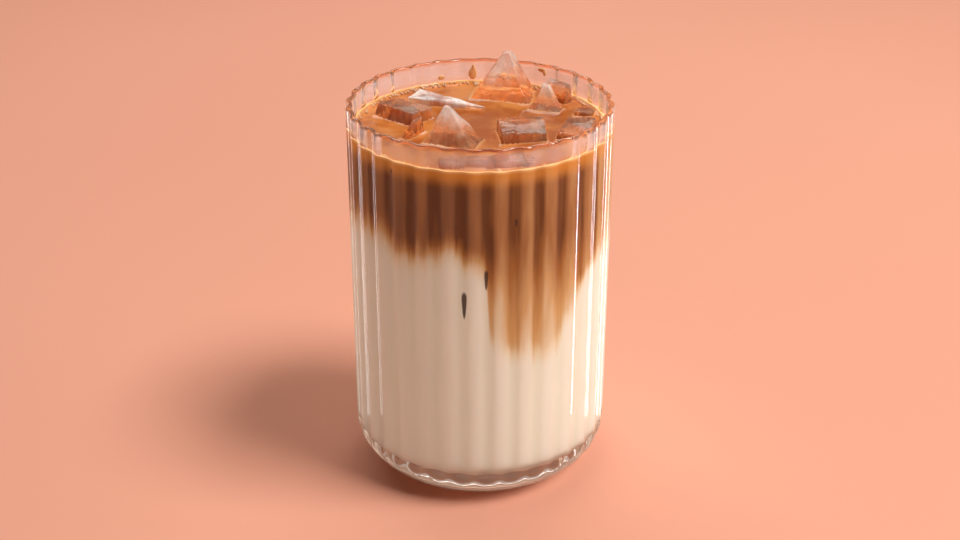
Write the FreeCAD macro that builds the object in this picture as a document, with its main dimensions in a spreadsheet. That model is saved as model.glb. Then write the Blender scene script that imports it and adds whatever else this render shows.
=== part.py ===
# Iced latte in a fluted tumbler: a straight glass with 32 concave flutes, filled with milk below
# and coffee above, and nine broken chunks of ice that float in the coffee and stand out of it.
# Millimetres. +Z is up, the origin is under the middle of the glass, and the front looks along -Y.
import FreeCAD, Part
import math
import os

import Sketcher
from FreeCAD import Placement, Rotation, Vector

DOC = FreeCAD.newDocument("iced_latte")
SHEET = DOC.addObject("Spreadsheet::Sheet", "sizes")

# ------------------------------------------------------------------ driving dimensions
SIZES = {
    # glass, outside
    "glass_radius": 40.0,
    "glass_height": 119.0,
    "base_corner": 16.0,
    "rim_round": 0.8,
    "flute_count": 32,
    "flute_radius": 8.0,
    "flute_depth": 1.0,
    "flute_turn": 3.2,
    # glass, inside: the same flutes, shallower and one wall further in, above a thick floor
    "cavity_radius": 38.2,
    "cavity_corner": 5.0,
    "cavity_top": 121.0,
    "cavity_flute_radius": 18.0,
    "cavity_flute_depth": 0.5,
    "floor_thickness": 11.5,
    # drink
    "coffee_level": 112.0,
    "milk_level": 85.0,
    "reach": 60.0,
    # ice
    "chipped_edge": 0.5,
}

# Each chunk is a wedge: its base and top faces (length by width), its height between them, how far
# the top leans off the middle, the middle of its base face, and its yaw, pitch and roll in degrees.
CHUNK_SIZES = (
    "base_length", "base_width", "top_length", "top_width", "tallness", "lean_side", "lean_back",
    "side", "back", "up", "yaw", "pitch", "roll",
)
CHUNKS = {
    "ice_tall": (20.5, 13.0, 3.0, 2.6, 14.6, 0.8, 3.0, 6.9, 25.6, 110.4, -14.0, 0.0, 0.0),
    "ice_blade": (5.0, 9.5, 2.0, 1.6, 25.0, 0.0, 0.0, -21.0, 21.5, 111.6, -23.0, 88.5, 0.0),
    "ice_left": (18.5, 13.0, 15.5, 10.0, 11.0, 0.0, 1.0, -24.2, 6.2, 104.5, -39.0, 2.0, -5.0),
    "ice_lean": (4.5, 10.0, 1.6, 6.0, 7.0, 1.2, 1.0, -19.9, -8.3, 110.0, -30.0, 0.0, 0.0),
    "ice_front": (22.5, 12.8, 2.4, 2.2, 12.8, -4.0, 7.2, -7.75, -15.8, 108.0, -18.0, 0.0, 0.0),
    "ice_shard": (13.0, 7.0, 3.0, 2.5, 8.5, -2.5, 6.0, 20.3, 11.9, 109.5, -23.0, 0.0, 0.0),
    "ice_back": (11.5, 6.5, 8.5, 4.5, 12.5, 0.0, 0.0, 23.8, 21.7, 104.5, -40.0, 0.0, 0.0),
    "ice_block": (16.0, 14.5, 14.5, 11.5, 11.0, 0.0, 1.0, 12.4, -9.3, 104.0, 8.0, 0.0, 4.0),
    "ice_slab": (11.0, 18.0, 9.8, 16.0, 7.5, 0.0, 0.0, 28.9, -5.0, 106.0, -13.0, 0.0, 2.0),
}

# Where coffee sinks into the milk along the wall, and where milk rises into the coffee. Each is a
# cone: its bearing from the front towards +X, how far out it stands, its mouth, its tip and length.
PLUME_SIZES = ("bearing", "out", "mouth", "tip", "length")
COFFEE_PLUMES = {
    "plume_near": (15.0, 33.0, 6.0, 1.6, 31.0),
    "plume_middle": (27.0, 33.5, 6.5, 2.0, 27.0),
    "plume_far": (40.0, 33.0, 5.5, 1.8, 22.0),
}
MILK_RISES = {
    "rise_front": (-14.0, 34.0, 5.0, 1.2, 9.0),
    "rise_side": (-62.0, 32.0, 7.0, 2.5, 4.0),
}


def fill_sheet():
    """Write every driving dimension into the sheet, a plain number beside its alias."""
    rows = dict(SIZES)
    for table, keys in ((CHUNKS, CHUNK_SIZES), (COFFEE_PLUMES, PLUME_SIZES), (MILK_RISES, PLUME_SIZES)):
        for name, values in table.items():
            rows.update({f"{name}_{key}": value for key, value in zip(keys, values)})
    for row, (label, value) in enumerate(rows.items(), start=1):
        SHEET.set(f"A{row}", label)
        SHEET.set(f"B{row}", str(value))
        SHEET.setAlias(f"B{row}", label)
    DOC.recompute()


def size(label):
    return float(SHEET.get(label))


def alias(name, key):
    """One of a row's own sizes, as it is written in an expression."""
    return "{" + f"{name}_{key}" + "}"


def bind(thing, bindings):
    """Bind properties of an object to expressions over the sheet's aliases, written as {alias}."""
    for prop, text in bindings.items():
        thing.setExpression(prop, text.replace("{", "sizes.").replace("}", ""))


def origin_plane(body, role):
    return next(f for f in body.Origin.OriginFeatures if f.Role == role)


def new_sketch(body, name, role):
    sketch = body.newObject("Sketcher::SketchObject", name)
    sketch.AttachmentSupport = (origin_plane(body, role), [""])
    sketch.MapMode = "FlatFace"
    return sketch


# ------------------------------------------------------------------ turned and fluted pieces
def turned_outline(body, name, radius, bottom, top, corner, lip):
    """Half the outline of a straight tumbler, closed along the axis, with a round base corner and
    a round upper edge. The five sizes are expressions."""
    sketch = new_sketch(body, name, "XZ_Plane")
    r, low, high = SIZES["cavity_radius"], SIZES["floor_thickness"], SIZES["glass_height"]
    c, e = SIZES["cavity_corner"], SIZES["rim_round"]
    foot = Part.LineSegment(Vector(0, low, 0), Vector(r - c, low, 0))
    side = Part.LineSegment(Vector(r, low + c, 0), Vector(r, high - e, 0))
    brim = Part.LineSegment(Vector(r - e, high, 0), Vector(0, high, 0))
    axis = Part.LineSegment(Vector(0, high, 0), Vector(0, low, 0))
    up = Vector(0, 0, 1)
    lower = Part.ArcOfCircle(Part.Circle(Vector(r - c, low + c, 0), up, c), -math.pi / 2, 0)
    upper = Part.ArcOfCircle(Part.Circle(Vector(r - e, high - e, 0), up, e), 0, math.pi / 2)
    sketch.addGeometry([foot, lower, side, upper, brim, axis], False)
    start, end = 1, 2
    Rule = Sketcher.Constraint
    sketch.addConstraint([
        Rule("Tangent", 0, end, 1, start),
        Rule("Tangent", 1, end, 2, start),
        Rule("Tangent", 2, end, 3, start),
        Rule("Tangent", 3, end, 4, start),
        Rule("Coincident", 4, end, 5, start),
        Rule("Coincident", 5, end, 0, start),
        Rule("Horizontal", 0),
        Rule("Vertical", 2),
        Rule("Horizontal", 4),
        Rule("PointOnObject", 5, start, -2),
        Rule("PointOnObject", 5, end, -2),
    ])
    for label, text, rule in (
        ("wide", radius, Rule("DistanceX", -1, 1, 2, start, r)),
        ("low", bottom, Rule("DistanceY", -1, 1, 0, start, low)),
        ("high", top, Rule("DistanceY", -1, 1, 4, end, high)),
        ("corner", corner, Rule("Radius", 1, c)),
        ("edge", lip, Rule("Radius", 3, e)),
    ):
        sketch.renameConstraint(sketch.addConstraint(rule), label)
        bind(sketch, {f"Constraints.{label}": text})
    return sketch


def fluted_body(name, radius, bottom, top, corner, lip, flute_radius, flute_depth):
    """A turned solid with concave flutes all round it. The flutes stop in round tongues where the
    base corner curves in under them."""
    body = DOC.addObject("PartDesign::Body", name)
    outline = turned_outline(body, f"{name}_outline", radius, bottom, top, corner, lip)
    turned = body.newObject("PartDesign::Revolution", f"{name}_turned")
    turned.Profile = outline
    turned.ReferenceAxis = (outline, ["V_Axis"])
    turned.Angle = 360
    DOC.recompute()
    solid_volume = turned.Shape.Volume

    circle = new_sketch(body, f"{name}_flute_circle", "XY_Plane")
    bend, away = SIZES["flute_radius"], SIZES["glass_radius"] + SIZES["flute_radius"]
    circle.addGeometry(Part.Circle(Vector(0, -away, 0), Vector(0, 0, 1), bend), False)
    circle.addConstraint([
        Sketcher.Constraint("Radius", 0, bend),
        Sketcher.Constraint("PointOnObject", 0, 3, -2),
        Sketcher.Constraint("DistanceY", 0, 3, -1, 1, away),
    ])
    circle.renameConstraint(0, "round")
    circle.renameConstraint(2, "away")
    bind(circle, {
        "Constraints.round": flute_radius,
        "Constraints.away": f"({radius}) - ({flute_depth}) + ({flute_radius})",
    })
    flute = body.newObject("PartDesign::Pocket", f"{name}_flute")
    flute.Profile = circle
    flute.Type = "Length"
    flute.Reversed = True
    bind(flute, {"Length": "{cavity_top} + {glass_radius}"})
    DOC.recompute()

    flutes = body.newObject("PartDesign::PolarPattern", f"{name}_flutes")
    flutes.Originals = [flute]
    flutes.Axis = (circle, ["N_Axis"])
    flutes.Angle = 360
    bind(flutes, {"Occurrences": "{flute_count}"})
    body.Tip = flutes
    body.Placement = Placement(Vector(), Rotation(size("flute_turn"), 0, 0))
    DOC.recompute()
    cut = solid_volume - flutes.Shape.Volume
    print(f"{name}: turned {solid_volume:.0f} mm3, flutes take {cut:.0f} mm3")
    if cut <= 0:
        raise RuntimeError(f"{name}: the flutes cut nothing")
    return body


def boolean(kind, name, base, tool):
    thing = DOC.addObject(f"Part::{kind}", name)
    thing.Base = base
    thing.Tool = tool
    return thing


def fused(name, things):
    thing = DOC.addObject("Part::MultiFuse", name)
    thing.Shapes = things
    return thing


def column(name, level):
    """A plain round column, wider than the glass, from the table up to a level."""
    thing = DOC.addObject("Part::Cylinder", name)
    bind(thing, {"Radius": "{reach}", "Height": level})
    return thing


# ------------------------------------------------------------------ ice
def ice_chunk(name):
    """A tapered chunk with chipped edges, tilted where it floats."""
    body = DOC.addObject("PartDesign::Body", name)
    wedge = body.newObject("PartDesign::AdditiveWedge", f"{name}_wedge")
    long, wide = alias(name, "base_length"), alias(name, "base_width")
    top_long, top_wide = alias(name, "top_length"), alias(name, "top_width")
    side, back = alias(name, "lean_side"), alias(name, "lean_back")
    bind(wedge, {
        "Xmin": f"-{long} / 2",
        "Xmax": f"{long} / 2",
        "Zmin": f"-{wide} / 2",
        "Zmax": f"{wide} / 2",
        "X2min": f"{side} - {top_long} / 2",
        "X2max": f"{side} + {top_long} / 2",
        "Z2min": f"-{back} - {top_wide} / 2",
        "Z2max": f"-{back} + {top_wide} / 2",
        "Ymax": alias(name, "tallness"),
    })
    wedge.Ymin = 0
    DOC.recompute()
    chips = body.newObject("PartDesign::Chamfer", f"{name}_chips")
    chips.Base = (wedge, [f"Edge{i + 1}" for i in range(len(wedge.Shape.Edges))])
    bind(chips, {"Size": "{chipped_edge}"})
    body.Tip = chips
    turn = Rotation(size(f"{name}_yaw"), size(f"{name}_pitch"), size(f"{name}_roll"))
    stand_up = Rotation(Vector(1, 0, 0), 90)
    place = Vector(size(f"{name}_side"), size(f"{name}_back"), size(f"{name}_up"))
    body.Placement = Placement(place, turn * stand_up)
    return body


# ------------------------------------------------------------------ drink
def plume(name, direction):
    """A cone along the wall: it hangs below the milk's level (-1) or rises above it (+1)."""
    cone = DOC.addObject("Part::Cone", name)
    wide, narrow = alias(name, "mouth"), alias(name, "tip")
    first, last = (narrow, wide) if direction < 0 else (wide, narrow)
    bind(cone, {"Radius1": first, "Radius2": last, "Height": alias(name, "length")})
    bearing = math.radians(size(f"{name}_bearing"))
    out = size(f"{name}_out")
    foot = size("milk_level") - (size(f"{name}_length") if direction < 0 else 0)
    cone.Placement = Placement(Vector(out * math.sin(bearing), -out * math.cos(bearing), foot), Rotation())
    return cone


def drink(cavity, ice):
    """Milk below and coffee above, filling the cavity up to the level, cut round the ice."""
    below = column("milk_column", "{milk_level}")
    risen = fused("milk_risen", [below] + [plume(name, 1) for name in MILK_RISES])
    sunk = fused("coffee_sunk", [plume(name, -1) for name in COFFEE_PLUMES])
    milk_zone = boolean("Cut", "milk_zone", risen, sunk)
    filled = boolean("Common", "filled", cavity, column("full_column", "{coffee_level}"))
    milk = boolean("Common", "milk", filled, milk_zone)
    above = boolean("Cut", "coffee_whole", filled, milk_zone)
    coffee = boolean("Cut", "coffee", above, fused("all_ice", ice))
    return milk, coffee


# ------------------------------------------------------------------ whole
def build():
    fill_sheet()
    blank = fluted_body(
        "glass_blank", "{glass_radius}", "0", "{glass_height}", "{base_corner}", "{rim_round}",
        "{flute_radius}", "{flute_depth}",
    )
    cavity = fluted_body(
        "cavity", "{cavity_radius}", "{floor_thickness}", "{cavity_top}", "{cavity_corner}",
        "{rim_round}", "{cavity_flute_radius}", "{cavity_flute_depth}",
    )
    glass = boolean("Cut", "glass", blank, cavity)
    ice = [ice_chunk(name) for name in CHUNKS]
    milk, coffee = drink(cavity, ice)
    return [glass, milk, coffee] + ice


def check_and_write(parts):
    DOC.recompute()
    for thing in DOC.Objects:
        if "Invalid" in thing.State or "Error" in thing.State:
            raise RuntimeError(f"{thing.Name} failed: {thing.State}")
    os.makedirs("parts", exist_ok=True)
    for part in parts:
        part.Label = part.Name
        shape = part.Shape
        if shape.isNull() or not shape.isValid():
            raise RuntimeError(f"{part.Label} has no valid shape")
        print(f"{part.Label}: {len(shape.Solids)} solid, {shape.Volume / 1000:.2f} cm3, {shape.BoundBox}")
        shape.exportStep(f"parts/{part.Label}.step")


check_and_write(build())
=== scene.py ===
"""The looks of an iced latte in a fluted tumbler, built round its CAD frame. Metres, +Z up, front -Y."""
import math
import random

import bmesh
import bpy
from mathutils import Matrix, Vector, noise
from mathutils.bvhtree import BVHTree


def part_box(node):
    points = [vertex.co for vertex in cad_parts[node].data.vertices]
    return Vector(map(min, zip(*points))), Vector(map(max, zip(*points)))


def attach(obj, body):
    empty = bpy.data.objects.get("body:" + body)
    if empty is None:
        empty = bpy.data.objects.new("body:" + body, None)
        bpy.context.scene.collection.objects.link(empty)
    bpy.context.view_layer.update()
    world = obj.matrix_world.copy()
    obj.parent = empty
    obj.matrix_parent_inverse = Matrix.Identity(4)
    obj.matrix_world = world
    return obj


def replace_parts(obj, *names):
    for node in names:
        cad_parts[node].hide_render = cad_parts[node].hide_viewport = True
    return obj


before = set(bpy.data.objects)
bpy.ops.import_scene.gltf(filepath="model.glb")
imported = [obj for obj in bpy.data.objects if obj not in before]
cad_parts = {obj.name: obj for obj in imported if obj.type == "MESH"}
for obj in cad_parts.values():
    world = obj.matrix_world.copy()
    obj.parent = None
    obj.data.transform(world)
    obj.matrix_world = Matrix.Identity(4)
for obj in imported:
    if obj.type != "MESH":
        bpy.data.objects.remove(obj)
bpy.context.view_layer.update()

MM = 0.001

# ------------------------------------------------------------------ sizes, from the frame
RIM_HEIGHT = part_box("glass")[1].z
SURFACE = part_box("coffee")[1].z
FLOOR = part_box("milk")[0].z

FLUTES = 32
PITCH = math.tau / FLUTES
FLUTE_TURN = math.radians(3.2)
STEPS_PER_FLUTE = 16

# radius at a ridge and in a valley, and how sharp the ridges are, for each side of the wall
RIDGE_OUT, VALLEY_OUT, SHARP_OUT = 0.0400, 0.0390, 0.62
RIDGE_IN, VALLEY_IN, SHARP_IN = 0.0382, 0.0377, 0.50
SPARE = 0.7 * MM        # the turned shape stands this far outside the ridges, so the flutes rule it
BLEND = 0.60 * MM       # how softly the flutes run out into the base corner
CORNER_OUT, CORNER_IN = 0.0160, 0.0050
CORNER_STEPS, POCKET_STEPS, LIP_STEPS = 26, 22, 8
LIP = 0.85 * MM         # height of the rounded lip
PUSH_UP = 0.8 * MM      # how high the middle of the underside stands off the table
CREASE = math.radians(40)

REACH = 0.25 * MM       # how far the drink reaches into the wall
ICE_FOOT = 0.1055       # how deep the sunk ice reaches
LAYER = 0.085           # where the coffee piece stands on the milk piece
CLIMB = 0.9 * MM        # how far the coffee creeps up the wall
SHORE = VALLEY_IN - 0.2 * MM        # where the open top of the coffee meets its side
LEVEL = SURFACE - CLIMB             # the open top away from the wall

GLASS_IOR, COFFEE_IOR, ICE_IOR = 1.5, 1.34, 1.31


# ------------------------------------------------------------------ nodes
class Recipe:
    """A material's node tree, with short ways to add nodes and join them."""

    def __init__(self, name):
        self.material = bpy.data.materials.new(name)
        self.material.use_nodes = True
        self.tree = self.material.node_tree
        self.tree.nodes.clear()
        self.output = self.add("OutputMaterial")

    def add(self, kind, **settings):
        node = self.tree.nodes.new("ShaderNode" + kind)
        for key, value in settings.items():
            setattr(node, key, value)
        return node

    def feed(self, socket, value):
        if isinstance(value, bpy.types.NodeSocket):
            self.tree.links.new(value, socket)
        else:
            socket.default_value = value

    def maths(self, operation, *values, clamp=False):
        node = self.add("Math", operation=operation, use_clamp=clamp)
        for socket, value in zip(node.inputs, values):
            self.feed(socket, value)
        return node.outputs[0]

    def ramp(self, value, low, high, to_low=0.0, to_high=1.0, kind="SMOOTHSTEP"):
        node = self.add("MapRange", interpolation_type=kind)
        for name, item in (
            ("Value", value), ("From Min", low), ("From Max", high), ("To Min", to_low), ("To Max", to_high)
        ):
            self.feed(node.inputs[name], item)
        return node.outputs["Result"]

    def mix(self, share, first, second):
        node = self.add("Mix", data_type="RGBA")
        self.feed(node.inputs["Factor"], share)
        colours = [s for s in node.inputs if s.type == "RGBA"]
        self.feed(colours[0], first)
        self.feed(colours[1], second)
        return next(s for s in node.outputs if s.type == "RGBA")

    def position(self):
        return self.add("TexCoord").outputs["Object"]

    def axes(self, place):
        """The X, Y and Z of a place."""
        node = self.add("SeparateXYZ")
        self.feed(node.inputs[0], place)
        return node.outputs

    def noise(self, place, scale, detail=2.0, roughness=0.5, stretch=(1, 1, 1)):
        mapping = self.add("Mapping")
        self.feed(mapping.inputs["Vector"], place)
        mapping.inputs["Scale"].default_value = stretch
        node = self.add("TexNoise")
        self.feed(node.inputs["Vector"], mapping.outputs["Vector"])
        node.inputs["Scale"].default_value = scale
        node.inputs["Detail"].default_value = detail
        node.inputs["Roughness"].default_value = roughness
        return node.outputs["Fac"]

    def bump(self, height, distance, strength):
        node = self.add("Bump")
        node.inputs["Strength"].default_value = strength
        node.inputs["Distance"].default_value = distance
        self.feed(node.inputs["Height"], height)
        return node.outputs["Normal"]

    def principled(self, colour, roughness, **inputs):
        node = self.add("BsdfPrincipled")
        self.feed(node.inputs["Base Color"], colour)
        self.feed(node.inputs["Roughness"], roughness)
        for name, value in inputs.items():
            self.feed(node.inputs[name.replace("_", " ")], value)
        return node.outputs[0]

    def blend(self, share, first, second):
        """Mixes two shaders."""
        node = self.add("MixShader")
        for socket, value in zip(node.inputs, (share, first, second)):
            self.feed(socket, value)
        return node.outputs[0]

    def finish(self, shader):
        self.feed(self.output.inputs["Surface"], shader)
        return self.material

    def finish_clear(self, shader, shade):
        """Ends a clear material: lamps shine straight through it, dimmed to the shade given."""
        open_way = self.add("BsdfTransparent")
        open_way.inputs["Color"].default_value = (shade, shade, shade, 1)
        shadow = self.add("LightPath").outputs["Is Shadow Ray"]
        return self.finish(self.blend(shadow, shader, open_way.outputs[0]))


def srgb(red, green, blue):
    """A colour given as 0 to 255 on a screen, as Blender's linear colour."""
    parts = [part / 255 for part in (red, green, blue)]
    return (*(c / 12.92 if c <= 0.04045 else ((c + 0.055) / 1.055) ** 2.4 for c in parts), 1)


# ------------------------------------------------------------------ materials
def clear_glass():
    """Clear glass, tinted at its foot and tinted orange at its lip as a painted reflection of the drink,
    with a painted pale reflection, a rough white layer, on the wall above the drink.
    """
    r = Recipe("clear_glass")
    place = r.position()
    height = r.axes(place)["Z"]
    ripple = r.noise(place, 90.0, detail=1.0, stretch=(1, 1, 0.25))
    # painted reflection: the lip is tinted orange for the warm drink and table seen through it
    lip = r.ramp(height, RIM_HEIGHT - 1.2 * MM, RIM_HEIGHT - 0.3 * MM)
    foot = r.ramp(height, 3 * MM, FLOOR + 3 * MM, 1.0, 0.0)
    tint = r.mix(foot, (1, 1, 1, 1), srgb(216, 192, 176))
    glass = r.principled(
        r.mix(lip, tint, srgb(228, 136, 78)), 0.015, IOR=GLASS_IOR, Transmission_Weight=1.0,
        Normal=r.bump(ripple, 0.12 * MM, 0.3),
    )
    # painted reflection: a patchy pale layer on the wall above the drink and below the lip
    cloud = r.noise(place, 240.0, detail=3.0, stretch=(1, 1, 0.4))
    above_drink = r.ramp(height, SURFACE, SURFACE + 2 * MM)
    below_lip = r.ramp(height, RIM_HEIGHT - 2.2 * MM, RIM_HEIGHT - 1.0 * MM, 1.0, 0.0)
    amount = r.maths("MULTIPLY", above_drink, r.ramp(cloud, 0.3, 0.7, 0.12, 0.22))
    painted_haze = r.principled(srgb(250, 240, 244), 0.5)
    return r.finish_clear(r.blend(r.maths("MULTIPLY", amount, below_lip), glass, painted_haze), 0.97)


# Where the coffee ends above the milk, by bearing from the front towards +X (degrees, millimetres).
BORDER = (
    (-180, 86), (-120, 84), (-80, 86), (-60, 88), (-47, 88.5), (-40, 86.5), (-33, 84.5), (-24, 86.5),
    (-18, 85), (-13.5, 90.5), (-8, 86), (-2, 84.5), (1.5, 82), (3.6, 68), (6, 58), (12, 54.5), (17, 53),
    (24, 52), (33, 51), (38, 55), (45, 64), (52, 71), (60, 75), (80, 75), (110, 82), (180, 86),
)
CURVE_TOP = 120.0       # the height, in millimetres, that the curve's full scale stands for

# From milk to coffee, by the share of coffee.
DRINK_STOPS = (
    (0.0, srgb(246, 239, 220)), (0.2, srgb(240, 219, 182)), (0.45, srgb(216, 166, 106)),
    (0.72, srgb(172, 108, 50)), (1.0, srgb(114, 61, 22)),
)

# Painted shade at the wall, dark spots where sunk ice touches it: bearing and height of the middle, half the
# width and half the height.
PAINTED_SHADE_SPOTS = ((-6.7, 70.3, 1.5, 4.2), (2.6, 78.6, 1.25, 3.2), (15.5, 96.0, 0.8, 1.2), (-40.0, 108.6, 0.9, 0.7))


def drink_colour(r):
    """The coffee and milk colour over the whole drink, by bearing and height, with painted light and shade
    in it.
    """
    place = r.position()
    x, y, z = r.axes(place)
    bearing = r.maths("DEGREES", r.maths("ARCTAN2", x, r.maths("MULTIPLY", y, -1.0)))
    height = r.maths("MULTIPLY", z, 1000.0)

    curve = r.add("FloatCurve")
    points = curve.mapping.curves[0].points
    while len(points) < len(BORDER):
        points.new(0.5, 0.5)
    for point, (angle, level) in zip(points, BORDER):
        point.location = ((angle + 180) / 360, level / CURVE_TOP)
    curve.mapping.update()
    r.feed(curve.inputs["Value"], r.ramp(bearing, -180.0, 180.0, kind="LINEAR"))
    border = r.maths("MULTIPLY", curve.outputs[0], CURVE_TOP)

    streak = r.noise(place, 398.0, roughness=0.45, stretch=(1, 1, 0.096))
    swirl = r.noise(place, 75.0, detail=3.0, roughness=0.55, stretch=(1, 1, 0.55))

    # the coffee sinks far into the milk on the right, thinning as it goes
    right = r.maths("MULTIPLY", r.ramp(bearing, -1.0, 9.0), r.ramp(bearing, 60.0, 160.0, 1.0, 0.0))
    wobble = r.maths("MULTIPLY", r.maths("SUBTRACT", streak, 0.5), r.ramp(right, 0.0, 1.0, 8.0, 11.0))
    wobble = r.maths("ADD", wobble, r.maths("MULTIPLY", r.maths("SUBTRACT", swirl, 0.5), 9.0))
    above = r.maths("ADD", r.maths("SUBTRACT", height, border), wobble)
    edge = r.ramp(above, r.ramp(right, 0.0, 1.0, -8.5, -4.0), r.ramp(right, 0.0, 1.0, 7.5, 6.0))
    thin = r.ramp(r.maths("ADD", height, wobble), 54.0, 92.0, 0.34, 0.95, kind="LINEAR")
    body = r.ramp(right, 0.0, 1.0, 1.0, thin, kind="LINEAR")
    share = r.maths("MULTIPLY", edge, body)

    # bands: painted light and shade, darker stripes in the flutes and lighter on the ridges, stronger on the
    # right
    turned = r.maths("SUBTRACT", bearing, math.degrees(FLUTE_TURN))
    band = r.maths("COSINE", r.maths("MULTIPLY", turned, math.tau / math.degrees(PITCH)))
    ridge = r.ramp(band, 0.9, -1.1)
    share = r.maths("MULTIPLY", share, r.ramp(ridge, 0.0, 1.0, 1.07, r.ramp(right, 0.0, 1.0, 0.82, 0.74)))
    share = r.maths("MULTIPLY", share, r.ramp(streak, 0.25, 0.75, 0.86, 1.10))
    inner = r.ramp(height, 68.0, 90.0, r.ramp(bearing, 1.0, 16.0, 0.42, 1.0), 1.0)
    share = r.maths("MULTIPLY", share, inner)
    # painted light: the coffee grows paler towards its open top, as if lit through it
    share = r.maths("MULTIPLY", share, r.ramp(height, 106.0, 111.2, 1.0, 0.78))
    # painted light: the coffee is paler on its right side, where the lamps fall
    pale = r.maths("MULTIPLY", r.ramp(bearing, 50.0, 80.0), r.ramp(bearing, 110.0, 165.0, 0.38, 0.0))
    share = r.maths("MULTIPLY", share, r.maths("SUBTRACT", 1.0, pale), clamp=True)

    ramp = r.add("ValToRGB")
    elements = ramp.color_ramp.elements
    while len(elements) < len(DRINK_STOPS):
        elements.new(0.5)
    for element, (at, colour) in zip(elements, DRINK_STOPS):
        element.position = at
        element.color = colour
    r.feed(ramp.inputs[0], share)
    # painted highlight: a pale line along each ridge, stronger in the milk
    painted_ridge_highlight = r.maths("MULTIPLY", ridge, r.ramp(share, 0.1, 0.5, 0.22, 0.035))
    colour = r.mix(painted_ridge_highlight, ramp.outputs["Color"], srgb(255, 246, 236))
    # painted light: a bright caramel band just under the open top
    painted_top_glow = r.maths("MULTIPLY", r.ramp(height, 106.0, 111.3, 0.0, 0.85), r.ramp(swirl, 0.3, 0.6, 0.7, 1.0))
    colour = r.mix(painted_top_glow, colour, srgb(220, 134, 44))
    # painted highlight: a pale line where the coffee meets the wall at its top
    colour = r.mix(r.ramp(height, 111.0, 112.0, 0.0, 0.45), colour, srgb(248, 212, 156))

    # painted shade: soft dark spots where sunk ice touches the wall and takes the light
    for angle, level, wide, tall in PAINTED_SHADE_SPOTS:
        ragged = r.maths("MULTIPLY", r.maths("SUBTRACT", swirl, 0.5), 1.2)
        down = r.maths("DIVIDE", r.maths("SUBTRACT", height, level), tall)
        taper = r.ramp(down, -1.0, 1.0, 0.35, 1.0, kind="LINEAR")
        aside = r.maths("DIVIDE", r.maths("SUBTRACT", bearing, angle), r.maths("MULTIPLY", taper, wide))
        across = r.maths("POWER", r.maths("ABSOLUTE", aside), 2.0)
        along = r.maths("POWER", r.maths("ABSOLUTE", down), 4.0)
        away = r.maths("ADD", r.maths("ADD", across, along), ragged)
        colour = r.mix(r.ramp(away, 0.35, 1.5, 0.93, 0.0), colour, srgb(52, 34, 26))
    return colour


def drink_at_wall(name):
    """The drink against the glass, with no shine of its own."""
    r = Recipe(name)
    shader = r.principled(drink_colour(r), 0.6, Specular_IOR_Level=0.0)
    return r.finish(shader)


def coffee_surface():
    """The open top of the coffee: wet, paler against the ice and the wall, with painted shade in deep
    hollows.
    """
    r = Recipe("coffee_surface")
    place = r.position()
    near = r.add("Attribute", attribute_name="near")
    cloud = r.noise(place, 60.0, detail=4.0, roughness=0.6, stretch=(1, 1, 0.2))
    colour = r.mix(r.ramp(cloud, 0.35, 0.65), srgb(170, 86, 34), srgb(212, 130, 64))
    colour = r.mix(r.ramp(near.outputs["Fac"], 0.35, 1.0, 0.0, 0.6), colour, srgb(228, 170, 112))
    # painted shade: darker where the top sinks into hollows under the ice
    deep = r.ramp(r.axes(place)["Z"], SURFACE - 6 * MM, SURFACE - 1.4 * MM, 1.0, 0.0)
    colour = r.mix(deep, colour, srgb(156, 84, 30))
    ripple = r.noise(place, 160.0)
    shader = r.principled(colour, 0.09, IOR=COFFEE_IOR, Normal=r.bump(ripple, 0.4 * MM, 0.45))
    return r.finish(shader)


def wet_ice():
    """Clear wet ice, warm with coffee low down, with white frost towards the top and in streaks."""
    r = Recipe("wet_ice")
    place = r.position()
    frosted = r.add("Attribute", attribute_name="frost").outputs["Fac"]
    patch = r.noise(place, 130.0, detail=4.0, roughness=0.6, stretch=(1, 1, 0.6))
    pitted = r.noise(place, 95.0, detail=1.0)
    pits = r.noise(place, 800.0)
    scratch = r.noise(place, 380.0, detail=3.0, stretch=(1.4, 1.4, 0.35))
    relief = r.mix(r.ramp(pitted, 0.5, 0.6), scratch, pits)
    normal = r.bump(relief, 0.3 * MM, 0.5)
    ragged = r.maths("ADD", r.axes(place)["Z"], r.maths("MULTIPLY", patch, 6 * MM))
    high = r.ramp(ragged, 0.1160, 0.1225)
    white = r.maths("MAXIMUM", high, r.ramp(frosted, 0.25, 0.7))
    clear = r.principled(
        r.mix(high, srgb(249, 200, 152), srgb(255, 248, 242)), r.ramp(patch, 0.45, 0.7, 0.02, 0.2),
        IOR=ICE_IOR, Transmission_Weight=1.0, Specular_IOR_Level=0.3, Normal=normal,
    )
    frost = r.principled(
        r.mix(white, srgb(250, 196, 144), srgb(255, 246, 238)), 0.35, Specular_IOR_Level=0.2,
        Normal=normal,
    )
    share = r.maths("ADD", r.maths("MULTIPLY", high, 0.14), frosted)
    share = r.maths("MULTIPLY", share, r.ramp(patch, 0.35, 0.6, 0.35, 1.15))
    share = r.maths("MULTIPLY", share, r.ramp(scratch, 0.3, 0.7, 0.75, 1.15), clamp=True)
    return r.finish_clear(r.blend(share, clear, frost), 0.85)


def speckled(name, scale, dark, light, roughness):
    """Small drops of coffee, mottled between two colours."""
    r = Recipe(name)
    tint = r.noise(r.position(), scale)
    return r.finish(r.principled(r.mix(tint, dark, light), roughness, IOR=COFFEE_IOR))


# ------------------------------------------------------------------ fluted turned pieces
def flute_rise(across, sharp):
    """How far a flute has risen from its valley (0) to the ridge (1), at 0 to 1 across it."""
    if across < sharp:
        return across * across / sharp
    return 1 - (1 - across) ** 2 / (1 - sharp)


def soft_least(first, second, soft):
    """The lesser of two lengths, with a rounded changeover."""
    low, gap = min(first, second), abs(first - second)
    return low - soft * math.log(1 + math.exp(-gap / soft))


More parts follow.
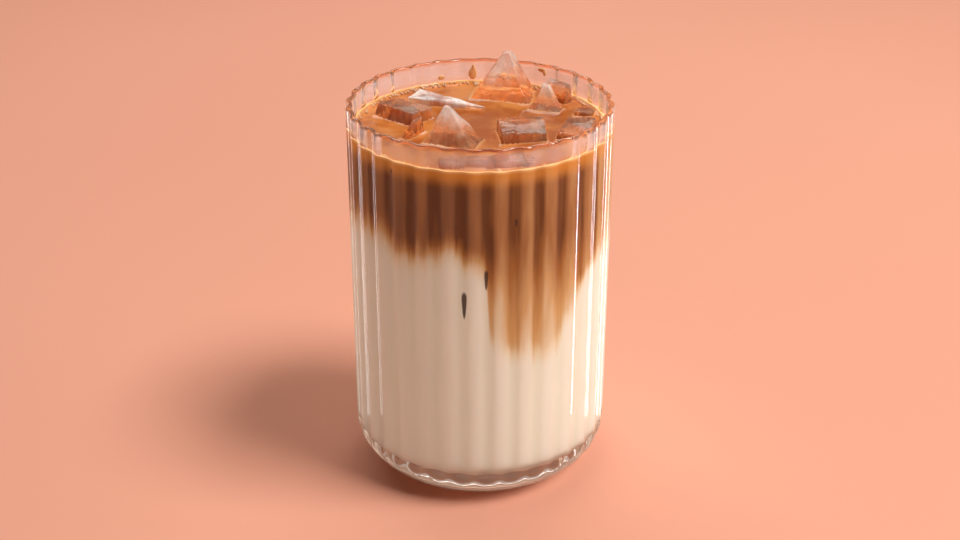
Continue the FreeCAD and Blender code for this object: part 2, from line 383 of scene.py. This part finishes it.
def arc(side, height, radius, start, stop, count, share):
    """Points of an arc in a (radius, height) outline, angles in degrees."""
    angles = [math.radians(start + (stop - start) * i / count) for i in range(count + 1)]
    return [(side + radius * math.cos(a), height + radius * math.sin(a), share) for a in angles]


def straight(first, last, count):
    """Points between two outline points, both left out."""
    return [
        tuple(a + (b - a) * i / count for a, b in zip(first, last)) for i in range(1, count)
    ]


def fluted_turning(name, outline, reach=0.0):
    """Spins an outline of (radius, height, share) points, then presses the flutes into it. The share
    is 1 on the outside of the glass and 0 on its inside."""
    bm = bmesh.new()
    share = bm.verts.layers.float.new("share")
    start = Matrix.Rotation(FLUTE_TURN, 3, "Z")
    line = []
    for radius, height, side in outline:
        vert = bm.verts.new(start @ Vector((0, -radius, height)))
        vert[share] = side
        line.append(vert)
    edges = [bm.edges.new(pair) for pair in zip(line, line[1:])]
    bmesh.ops.spin(
        bm, geom=line + edges, cent=(0, 0, 0), axis=(0, 0, 1), angle=math.tau,
        steps=FLUTES * STEPS_PER_FLUTE, use_merge=True, use_duplicate=False,
    )
    bmesh.ops.remove_doubles(bm, verts=bm.verts, dist=1e-7)
    bmesh.ops.dissolve_degenerate(bm, dist=1e-7, edges=bm.edges)
    for vert in bm.verts:
        radius = math.hypot(vert.co.x, vert.co.y)
        if radius < 1e-6:
            continue
        turns = (math.atan2(vert.co.x, -vert.co.y) - FLUTE_TURN) / PITCH
        flute = round(turns)
        off = 2 * (turns - flute)
        crowded = off * (1.5 - 0.5 * off * off)     # more points near the ridges
        bearing = FLUTE_TURN + PITCH * (flute + crowded / 2)
        across = min(abs(crowded), 1.0)
        outer = VALLEY_OUT + (RIDGE_OUT - VALLEY_OUT) * flute_rise(across, SHARP_OUT)
        inner = VALLEY_IN + (RIDGE_IN - VALLEY_IN) * flute_rise(across, SHARP_IN) + reach
        limit = vert[share] * outer + (1 - vert[share]) * inner
        radius = soft_least(radius, limit, BLEND)
        vert.co.x = radius * math.sin(bearing)
        vert.co.y = -radius * math.cos(bearing)
    bmesh.ops.recalc_face_normals(bm, faces=bm.faces)
    return finished(name, bm)


def smoothed(mesh):
    """Smooth shading, with edges over the crease angle left sharp."""
    mesh.shade_smooth()
    mesh.set_sharp_from_angle(angle=CREASE)


def finished(name, bm, smooth=True):
    """Turns a bmesh into an object at the origin."""
    mesh = bpy.data.meshes.new(name)
    bm.to_mesh(mesh)
    bm.free()
    if smooth:
        smoothed(mesh)
    thing = bpy.data.objects.new(name, mesh)
    bpy.context.scene.collection.objects.link(thing)
    return thing


def dress(thing, slot, *materials):
    """Gives a piece its materials and puts it on the only body. The slot is not used."""
    for material in materials:
        thing.data.materials.append(material)
    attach(thing, "root")
    return thing


def tumbler():
    """The glass, its outline drawn from the middle of the underside, over the lip, to the floor inside."""
    side = RIDGE_OUT + SPARE
    corner = CORNER_OUT + SPARE
    inside = RIDGE_IN + SPARE
    pocket = CORNER_IN + SPARE
    foot = side - corner
    top = RIM_HEIGHT - LIP
    underside = (
        (foot - 7 * MM, PUSH_UP, 1), (foot - 4 * MM, PUSH_UP * 0.6, 1), (foot - 2 * MM, PUSH_UP * 0.12, 1)
    )
    outline = [(0, PUSH_UP, 1)]
    outline += straight((0, PUSH_UP, 1), underside[0], 4)
    outline += underside
    outline += arc(foot, corner, corner, -90, 0, CORNER_STEPS, 1)
    outline += straight((side, corner, 1), (side, top, 1), 8)
    for i in range(LIP_STEPS + 1):
        turn = math.pi * i / LIP_STEPS
        share = (1 + math.cos(turn)) / 2
        outline.append((inside + (side - inside) * share, top + LIP * math.sin(turn), share))
    outline += straight((inside, top, 0), (inside, FLOOR + pocket, 0), 8)
    outline += arc(inside - pocket, FLOOR + pocket, pocket, 0, -90, POCKET_STEPS, 0)
    outline += straight((inside - pocket, FLOOR, 0), (0, FLOOR, 0), 4)
    outline.append((0, FLOOR, 0))
    thing = fluted_turning("tumbler", outline)
    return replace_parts(dress(thing, "clear_glass", clear_glass()), "glass")


def milk():
    """The lower part of the drink, from the floor up to where the coffee piece stands on it."""
    side = RIDGE_IN + SPARE + REACH
    pocket = CORNER_IN + SPARE + REACH
    floor = FLOOR - REACH
    outline = [(0, floor, 0)]
    outline += straight((0, floor, 0), (side - pocket, floor, 0), 4)
    outline += arc(side - pocket, floor + pocket, pocket, -90, 0, POCKET_STEPS, 0)
    outline += straight((side, floor + pocket, 0), (side, LAYER, 0), 6)
    outline += [(side, LAYER, 0)]
    outline += straight((side, LAYER, 0), (0, LAYER, 0), 8)
    outline.append((0, LAYER, 0))
    thing = fluted_turning("milk_layer", outline, REACH)
    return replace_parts(dress(thing, "milk", drink_at_wall("milk_at_the_wall")), "milk")


def coffee_outline():
    """Up the side of the coffee, down the curve by the wall and in to the middle of its open top."""
    side = RIDGE_IN + SPARE + REACH
    foot = LAYER - 0.1 * MM
    outline = [(0, foot, 0)]
    outline += straight((0, foot, 0), (side, foot, 0), 6)
    outline += [(side, foot, 0)]
    outline += straight((side, LAYER, 0), (side, LEVEL, 0), 5)
    outline.append((side, SURFACE, 0))
    for i in range(7):
        near = 1 - i / 6
        outline.append((SHORE - 2.4 * MM * (1 - near), LEVEL + CLIMB * near ** 2.2, 0))
    outline += straight(outline[-1], (0, LEVEL, 0), 68)
    outline.append((0, LEVEL, 0))
    return outline


def skin_of(chunks):
    """All the chunks' surfaces in one search tree."""
    bm = bmesh.new()
    for chunk in chunks:
        bm.from_mesh(chunk.data)
    skin = BVHTree.FromBMesh(bm)
    bm.free()
    return skin


def coffee(chunks):
    """The coffee, with a hollow under each chunk of ice and a raised edge round it."""
    thing = fluted_turning("coffee_layer", coffee_outline(), REACH)
    ice_skin = skin_of(chunks)
    bm = bmesh.new()
    bm.from_mesh(thing.data)
    near_layer = bm.verts.layers.float.new("near")
    up = Vector((0, 0, 1))
    for vert in bm.verts:
        radius = math.hypot(vert.co.x, vert.co.y)
        if radius > SHORE or vert.co.z < LEVEL - 0.2 * MM:
            continue
        over = Vector((vert.co.x, vert.co.y, RIM_HEIGHT + 20 * MM))
        under = Vector((vert.co.x, vert.co.y, LAYER))
        top = ice_skin.ray_cast(over, -up)[0]
        bottom = ice_skin.ray_cast(under, up)[0]
        gap = ice_skin.find_nearest(Vector((vert.co.x, vert.co.y, LEVEL)))[3]
        wall = math.exp(-(SHORE - radius) / (1.2 * MM))
        vert[near_layer] = max(math.exp(-gap / (1.1 * MM)), wall)
        vert.co.z += 0.10 * MM * noise.noise(vert.co * 160)
        if top and top.z > LEVEL + 0.1 * MM and bottom.z < LEVEL:
            vert.co.z = bottom.z + 0.15 * MM
            vert[near_layer] = 0
        else:
            vert.co.z += 0.55 * MM * math.exp(-gap / (0.8 * MM))
    bm.to_mesh(thing.data)
    bm.free()
    smoothed(thing.data)

    thing = dress(thing, "coffee", drink_at_wall("coffee_at_the_wall"), coffee_surface())
    for face in thing.data.polygons:
        if face.center.z > LAYER + 10 * MM and math.hypot(face.center.x, face.center.y) < SHORE:
            face.material_index = 1
    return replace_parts(thing, "coffee")


# ------------------------------------------------------------------ ice
def hardened(thing, cell, rounds):
    """Evens out a solid's mesh at one cell size, so that it can be melted and chipped."""
    remesh = thing.modifiers.new("even", "REMESH")
    remesh.mode = "VOXEL"
    remesh.voxel_size = cell
    graph = bpy.context.evaluated_depsgraph_get()
    even = bpy.data.meshes.new_from_object(thing.evaluated_get(graph))
    thing.modifiers.clear()
    old = thing.data
    thing.data = even
    bpy.data.meshes.remove(old)
    bm = bmesh.new()
    bm.from_mesh(thing.data)
    for _ in range(rounds):
        bmesh.ops.smooth_vert(
            bm, verts=bm.verts, factor=0.5, use_axis_x=True, use_axis_y=True, use_axis_z=True
        )
    return bm


# How white with frost the whiter chunks are, and all the others.
FROST = {"ice_blade": 0.85, "ice_shard": 0.36, "ice_front": 0.24, "ice_tall": 0.22}
PLAIN_FROST = 0.17


def melted(thing, seed, material):
    """Rounds a rough chunk, hollows and chips it, and lengthens what is sunk in the coffee."""
    bm = hardened(thing, 0.36 * MM, 2)
    white = bm.verts.layers.float.new("frost")
    frost = FROST.get(thing.name.replace("_piece", ""), PLAIN_FROST)
    bm.normal_update()
    shift = Vector((seed * 3.7, seed * 1.3, seed * 2.9))
    moves = []
    for vert in bm.verts:
        broad = noise.noise(vert.co * 110 + shift)
        fine = noise.noise(vert.co * 380 + shift)
        depth = 1.15 * MM * (broad + 0.42) + 0.18 * MM * (fine + 0.4)
        moves.append(vert.normal * -max(depth, 0))
    for vert, move in zip(bm.verts, moves):
        vert.co += move
        vert[white] = frost
    level = LEVEL - 0.3 * MM
    lowest = min(vert.co.z for vert in bm.verts)
    longer = max(1.0, (level - ICE_FOOT) / max(level - lowest, 0.2 * MM))
    for vert in bm.verts:
        if vert.co.z < level:
            vert.co.z = level - (level - vert.co.z) * longer
    bmesh.ops.recalc_face_normals(bm, faces=bm.faces)
    bm.to_mesh(thing.data)
    bm.free()
    thing.data.shade_smooth()
    thing.data.materials.clear()
    return dress(thing, "ice", material)


def ice_chunk(node, material, seed):
    """One chunk of the frame's ice, melted."""
    bm = bmesh.new()
    bm.from_mesh(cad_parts[node].data)
    bmesh.ops.remove_doubles(bm, verts=bm.verts, dist=1e-6)
    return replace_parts(melted(finished(node + "_piece", bm), seed, material), node)


# Chunks that only just break the surface, at the front wall and at the right: middle and size in
# millimetres, and turn in degrees.
SUNK_CHUNKS = (
    ((1.5, -31.0, 109.9), (26, 6.8, 6.6), 2), ((31.6, 9.2, 109.9), (6.4, 6.0, 6.2), -15),
)
SUNK_SEED = 19


def sunk_ice(material):
    """The chunks that the frame leaves out."""
    chunks = []
    for number, (middle, size, turn) in enumerate(SUNK_CHUNKS, start=1):
        bm = bmesh.new()
        bmesh.ops.create_cube(bm, size=MM)
        bmesh.ops.scale(bm, vec=size, verts=bm.verts)
        bmesh.ops.bevel(
            bm, geom=bm.edges[:], offset=1.2 * MM, segments=2, profile=0.5, affect="EDGES", material=-1
        )
        bmesh.ops.rotate(bm, matrix=Matrix.Rotation(math.radians(turn), 3, "Z"), verts=bm.verts)
        bmesh.ops.translate(bm, vec=Vector(middle) * MM, verts=bm.verts)
        chunks.append(melted(finished(f"sunk_ice_{number}", bm), SUNK_SEED + number, material))
    return chunks


def ice():
    """Every chunk, the frame's first."""
    material = wet_ice()
    nodes = sorted(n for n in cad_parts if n.startswith("ice_"))
    return [ice_chunk(node, material, seed) for seed, node in enumerate(nodes)] + sunk_ice(material)


# ------------------------------------------------------------------ froth and drips
def froth():
    """Fine bubbles along the wall, thickest at the back and left."""
    chance = random.Random(12)
    bm = bmesh.new()
    for _ in range(170):
        bearing = math.radians(chance.gauss(215, 62))
        size = chance.uniform(0.22, 0.55) * MM
        out = VALLEY_IN - size - abs(chance.gauss(0, 0.8)) * MM
        rise = CLIMB * math.exp(-(VALLEY_IN - out) / (1.3 * MM))
        place = Vector((out * math.sin(bearing), -out * math.cos(bearing), LEVEL + rise))
        bmesh.ops.create_icosphere(bm, subdivisions=2, radius=size, matrix=Matrix.Translation(place))
    material = speckled("froth", 400.0, srgb(206, 142, 88), srgb(240, 204, 164), 0.15)
    return dress(finished("froth_bubbles", bm), "coffee", material)


# Coffee left on the back of the wall: bearing, then height, half width and half height in millimetres.
DRIPS = (
    (183.5, 114.3, 1.3, 2.0), (183.3, 116.2, 0.5, 1.2), (149.0, 117.2, 1.3, 0.7), (147.5, 116.4, 0.6, 0.9),
    (199.0, 113.6, 1.1, 0.8),
)


def drips():
    """A run, a splash and small spots of coffee, flat against the wall."""
    bm = bmesh.new()
    for bearing, height, wide, tall in DRIPS:
        turn = Matrix.Rotation(math.radians(bearing), 4, "Z")
        out = Matrix.Translation((0, -VALLEY_IN, height * MM))
        flat = Matrix.Diagonal((wide * MM, 0.35 * MM, tall * MM, 1))
        bmesh.ops.create_uvsphere(bm, u_segments=20, v_segments=12, radius=1, matrix=turn @ out @ flat)
    material = speckled("coffee_drips", 500.0, srgb(240, 168, 98), srgb(255, 210, 156), 0.12)
    return dress(finished("coffee_drips", bm), "coffee", material)


# ------------------------------------------------------------------ stage
AIR_GLOW, AIR_SHINE = 0.07, 0.45        # strength of the surrounding light, and as seen in reflections


def studio():
    """A peach table and the soft light of the room."""
    r = Recipe("table_paper")
    shade = r.noise(r.position(), 3.0, detail=1.0)
    colour = r.mix(r.ramp(shade, 0.3, 0.7), srgb(247, 173, 144), srgb(250, 177, 148))
    paper = r.finish(r.principled(colour, 0.9, Specular_IOR_Level=0.1))
    bm = bmesh.new()
    bmesh.ops.create_grid(bm, x_segments=2, y_segments=2, size=4.0)
    table = finished("table_top", bm, smooth=False)
    table.data.materials.append(paper)

    world = bpy.data.worlds.new("studio_air")
    world.use_nodes = True
    tree = world.node_tree
    back = tree.nodes["Background"]
    back.inputs["Color"].default_value = srgb(253, 226, 210)
    path = tree.nodes.new("ShaderNodeLightPath")
    shine = tree.nodes.new("ShaderNodeMapRange")
    tree.links.new(path.outputs["Is Glossy Ray"], shine.inputs["Value"])
    shine.inputs["To Min"].default_value = AIR_GLOW
    shine.inputs["To Max"].default_value = AIR_SHINE
    tree.links.new(shine.outputs["Result"], back.inputs["Strength"])
    bpy.context.scene.world = world


def lamp(name, towards, distance, size, power, aim=(0, 0, 0.06), size_y=None):
    """A panel that stands off in one direction from the point it shines at."""
    data = bpy.data.lights.new(name, "AREA")
    data.shape = "RECTANGLE"
    data.size = size
    data.size_y = size_y or size
    data.energy = power
    thing = bpy.data.objects.new(name, data)
    bpy.context.scene.collection.objects.link(thing)
    direction = Vector(towards).normalized()
    thing.location = Vector(aim) + direction * distance
    thing.rotation_mode = "QUATERNION"
    thing.rotation_quaternion = direction.to_track_quat("Z", "Y")
    return thing


def lamps(glass, drink):
    """Three panels for everything, one for the drink alone and two strips for the glass alone."""
    lamp("key", (0.455, -0.17, 0.87), 1.2, 0.42, 11.5)
    lamp("back_panel", (-0.1, 0.76, 0.84), 1.3, 1.3, 7.0, size_y=0.5)
    lamp("right_panel", (1.0, -0.2, 0.42), 1.2, 0.5, 0.45, size_y=0.7)
    glow = lamp("drink_fill", (-0.75, -0.8, 0.5), 1.2, 0.7, 1.3)
    lit = bpy.data.collections.new("lit_drink")
    for thing in drink:
        lit.objects.link(thing)
    glow.light_linking.receiver_collection = lit

    # the strips stand beside the glass and make the lines along its edges
    glint = bpy.data.collections.new("glint_on_glass")
    glint.objects.link(glass)
    for name, place, power in (
        ("left_strip", (-0.060, 0.004), 0.0055), ("right_strip", (0.060, 0.004), 0.017)
    ):
        middle = Vector((*place, RIM_HEIGHT / 2))
        strip = lamp(name, Vector((*place, 0)), 0, 3 * MM, power, aim=middle, size_y=RIM_HEIGHT)
        strip.light_linking.receiver_collection = glint
        strip.visible_camera = False
        strip.visible_transmission = False


def camera():
    """The viewer, in front of the glass and looking down at it."""
    pitch = math.radians(26.43)
    distance = 0.480
    look_height = 0.06296
    data = bpy.data.cameras.new("viewer")
    data.sensor_width = 36.0
    data.lens = 57.71
    data.clip_start = 0.01
    thing = bpy.data.objects.new("viewer", data)
    bpy.context.scene.collection.objects.link(thing)
    thing.location = (0, -distance * math.cos(pitch), look_height + distance * math.sin(pitch))
    thing.rotation_euler = (math.pi / 2 - pitch, 0, 0)
    bpy.context.scene.camera = thing


studio()
camera()
lamps(tumbler(), [milk(), coffee(ice())])
froth()
drips()
bpy.context.scene.view_settings.view_transform = "Standard"
